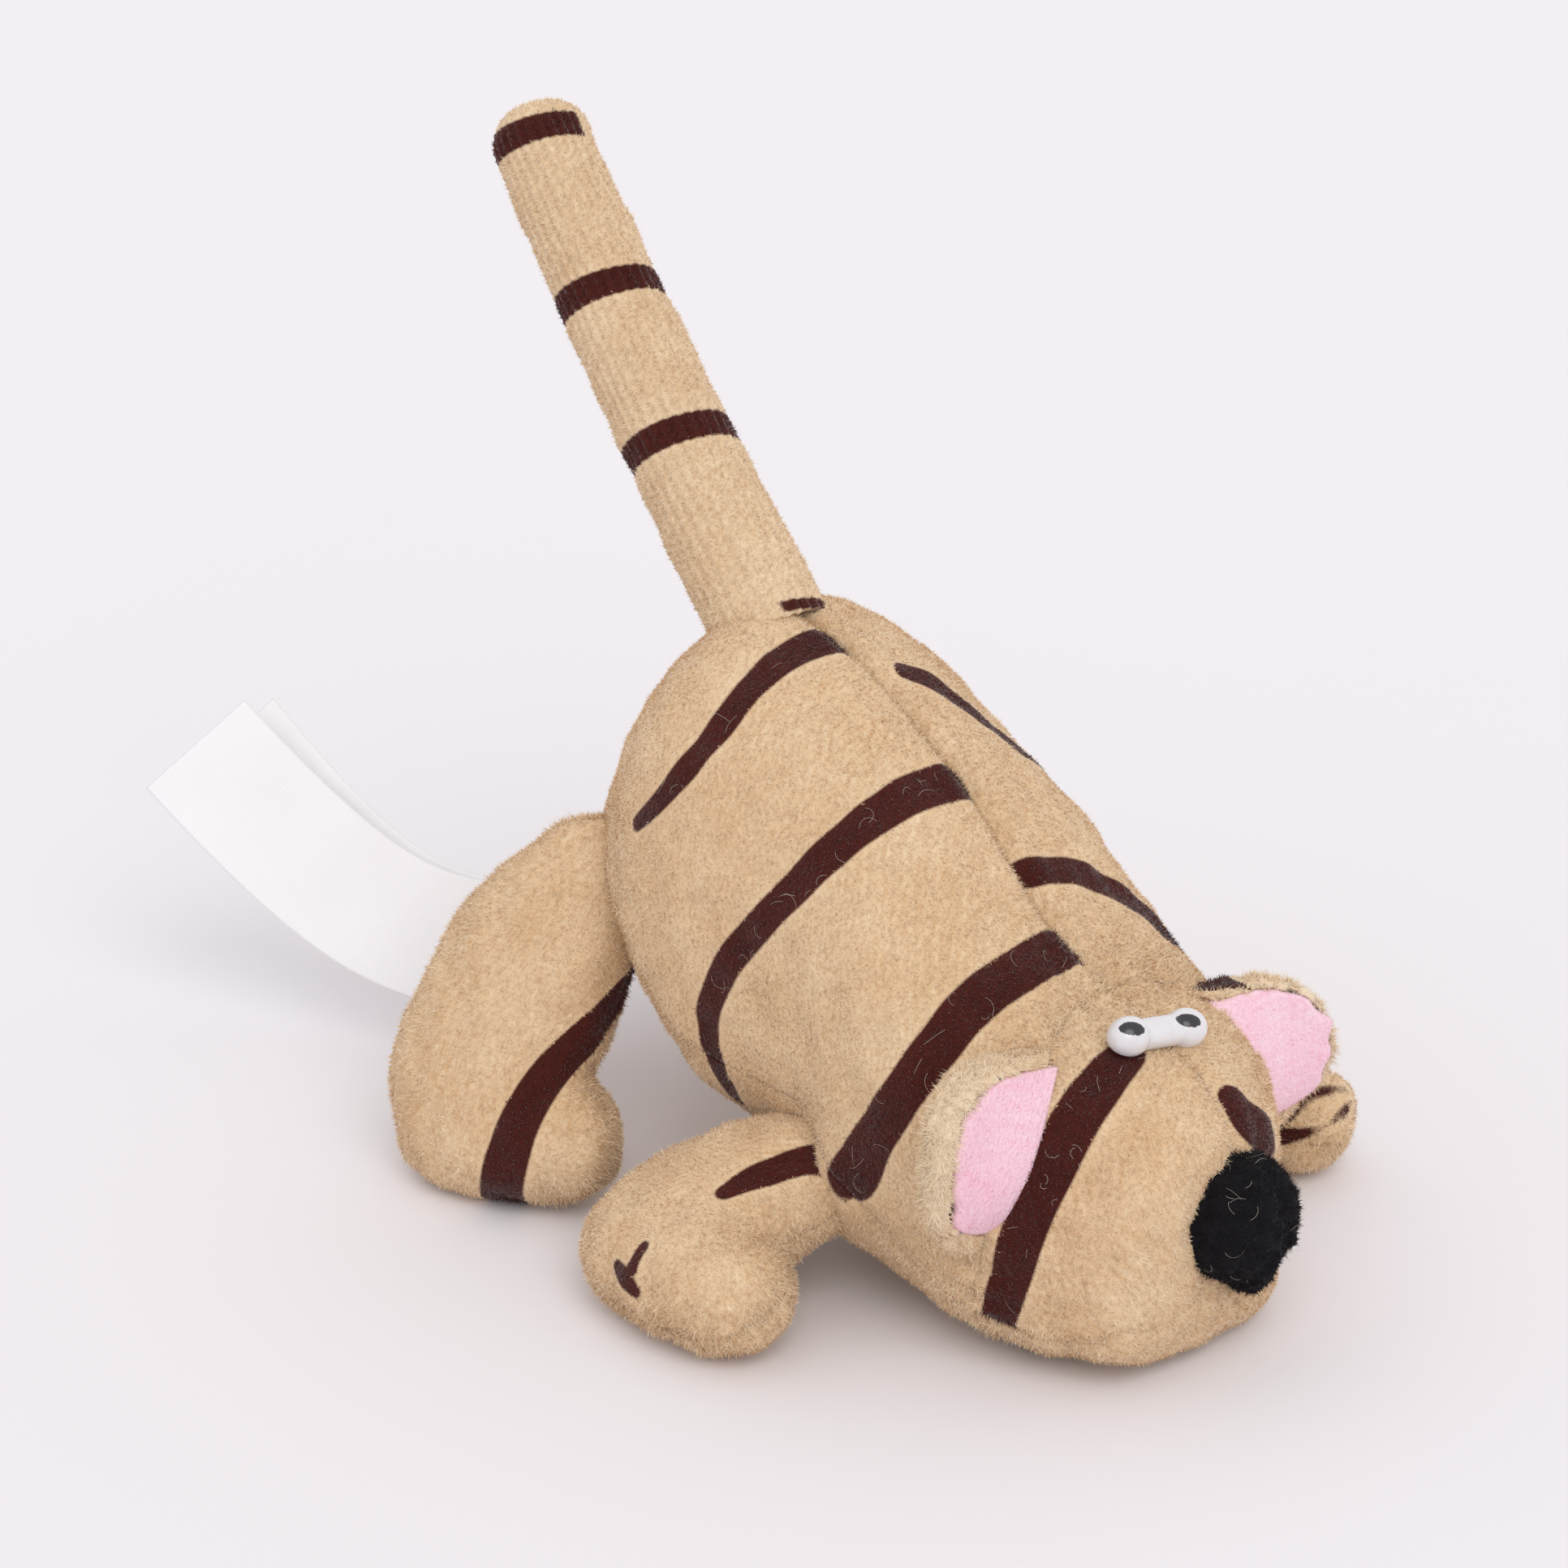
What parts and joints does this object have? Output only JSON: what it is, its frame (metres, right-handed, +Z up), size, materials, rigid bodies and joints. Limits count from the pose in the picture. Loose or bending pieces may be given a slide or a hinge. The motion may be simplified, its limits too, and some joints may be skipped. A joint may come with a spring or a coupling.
{
  "type": "plush tiger",
  "caption": "Small stuffed tiger lying on its chest with its rump and tail raised: striped pile cloth, pink ears, black nose, moulded eyes and a blank ribbon label.",
  "frame": {"origin": "middle of the bounding box's bottom, on the ground the toy lies on", "axes": "+Z up, +X towards the toy's left side, -Y the way its snout points, +Y towards the rump and label"},
  "size_m": [0.1122, 0.1894, 0.143],
  "materials": {
    "tan_pile": "short tan pile with printed dark brown stripes",
    "pink_pile": "short pink pile",
    "black_pile": "short black pile",
    "filling": "loose polyester fibre with pellets",
    "white_plastic": "glossy, slightly translucent",
    "washer_plastic": "plain moulded",
    "white_ribbon": "satin ribbon with cut ends"
  },
  "bodies": {
    "body": {"back_panel_left": "tan_pile", "back_panel_right": "tan_pile", "belly_panel": "tan_pile", "body_filling": "filling"},
    "head": {"face_panel_left": "tan_pile", "face_panel_right": "tan_pile", "chin_panel": "tan_pile", "head_filling": "filling", "nose_cover": "black_pile", "nose_filling": "filling", "eye_pair": "white_plastic", "eye_washer": "washer_plastic"},
    "ear_left": {"ear_left_back": "tan_pile", "ear_left_lining": "pink_pile"},
    "ear_right": {"ear_right_back": "tan_pile", "ear_right_lining": "pink_pile"},
    "front_leg_left": {"front_leg_left_upper": "tan_pile", "front_leg_left_sole": "tan_pile", "front_leg_left_filling": "filling"},
    "front_leg_right": {"front_leg_right_upper": "tan_pile", "front_leg_right_sole": "tan_pile", "front_leg_right_filling": "filling"},
    "hind_leg_left": {"hind_leg_left_upper": "tan_pile", "hind_leg_left_sole": "tan_pile", "hind_leg_left_filling": "filling"},
    "hind_leg_right": {"hind_leg_right_upper": "tan_pile", "hind_leg_right_sole": "tan_pile", "hind_leg_right_filling": "filling"},
    "tail": {"tail_cover": "tan_pile", "tail_filling": "filling"},
    "label": {"label_front": "white_ribbon", "label_back": "white_ribbon"}
  },
  "joints": [
    {"name": "neck", "type": "hinge", "parent": "body", "child": "head", "pos_m": [0.00172, -0.06679, 0.04638], "axis": [-1, 0, 0], "range_deg": [0, 25]},
    {"name": "shoulder_left", "type": "hinge", "parent": "body", "child": "front_leg_left", "pos_m": [0.02728, -0.03018, 0.01351], "axis": [0, 0, 1], "range_deg": [-15, 25]},
    {"name": "shoulder_right", "type": "hinge", "parent": "body", "child": "front_leg_right", "pos_m": [-0.02544, -0.03025, 0.01849], "axis": [0, 0, 1], "range_deg": [-15, 15]},
    {"name": "hip_left", "type": "hinge", "parent": "body", "child": "hind_leg_left", "pos_m": [0.02595, 0.02087, 0.04512], "axis": [1, 0, 0], "range_deg": [-10, 30]},
    {"name": "hip_right", "type": "hinge", "parent": "body", "child": "hind_leg_right", "pos_m": [-0.02328, 0.02162, 0.04837], "axis": [1, 0, 0], "range_deg": [-10, 30]},
    {"name": "tail_root", "type": "hinge", "parent": "body", "child": "tail", "pos_m": [0.00438, 0.0131, 0.08868], "axis": [1, 0, 0], "range_deg": [-25, 20], "stiffness_Nm_per_rad": 0.06},
    {"name": "ear_left_fold", "type": "hinge", "parent": "head", "child": "ear_left", "pos_m": [0.02793, -0.06952, 0.03098], "axis": [0.3869, 0, -0.9221], "range_deg": [-20, 20], "stiffness_Nm_per_rad": 0.01},
    {"name": "ear_right_fold", "type": "hinge", "parent": "head", "child": "ear_right", "pos_m": [-0.02272, -0.06958, 0.03433], "axis": [0.5054, 0, 0.8629], "range_deg": [-20, 20], "stiffness_Nm_per_rad": 0.01},
    {"name": "label_root", "type": "hinge", "parent": "body", "child": "label", "pos_m": [0.00172, 0.0251, 0.04569], "axis": [1, 0, 0], "range_deg": [-5, 25], "stiffness_Nm_per_rad": 0.02}
  ]
}
